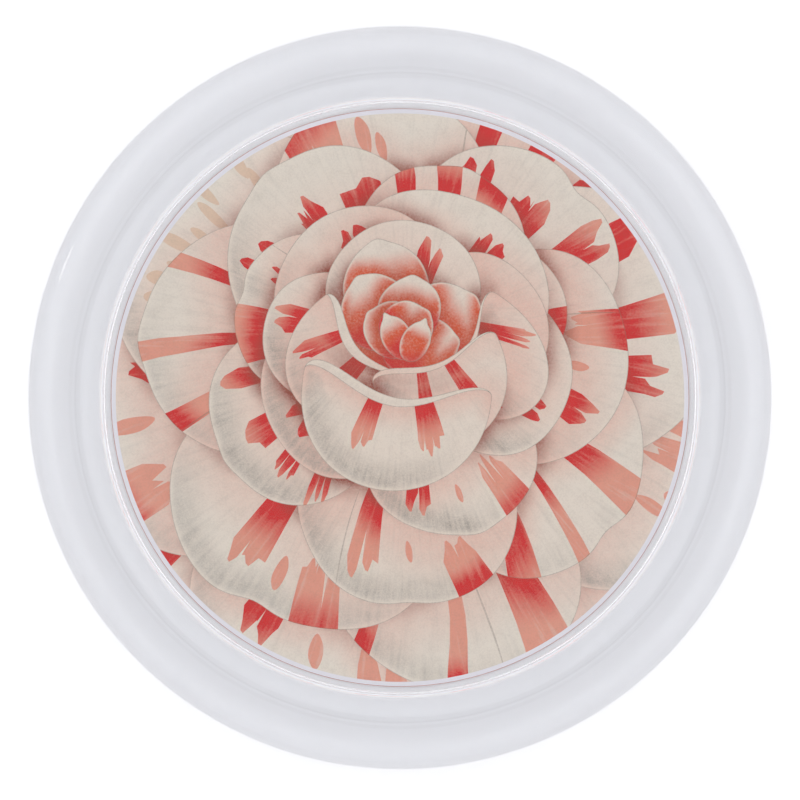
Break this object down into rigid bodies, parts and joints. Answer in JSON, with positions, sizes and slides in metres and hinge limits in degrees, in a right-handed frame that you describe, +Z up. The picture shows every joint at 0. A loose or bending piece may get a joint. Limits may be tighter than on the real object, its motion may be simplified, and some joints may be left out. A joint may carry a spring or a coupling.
{
  "type": "decoupage glass bottle coaster",
  "caption": "Shallow round clear glass coaster dish with a thick rounded rim, a striped camellia print glued under its floor and a felt base.",
  "frame": {"origin": "middle of the felt's underside, on the table", "axes": "+Z up along the dish's axis; +Y towards the top of the printed picture"},
  "size_m": [0.127, 0.127, 0.0172],
  "materials": {
    "clear_glass": "polished, clear, very slightly cool",
    "flower_print": "matt printed paper, cream petals striped in coral and red",
    "cream_felt": "short matt felt"
  },
  "bodies": {
    "root": {"glass_dish": "clear_glass", "printed_paper": "flower_print", "base_felt": "cream_felt"}
  },
  "joints": []
}
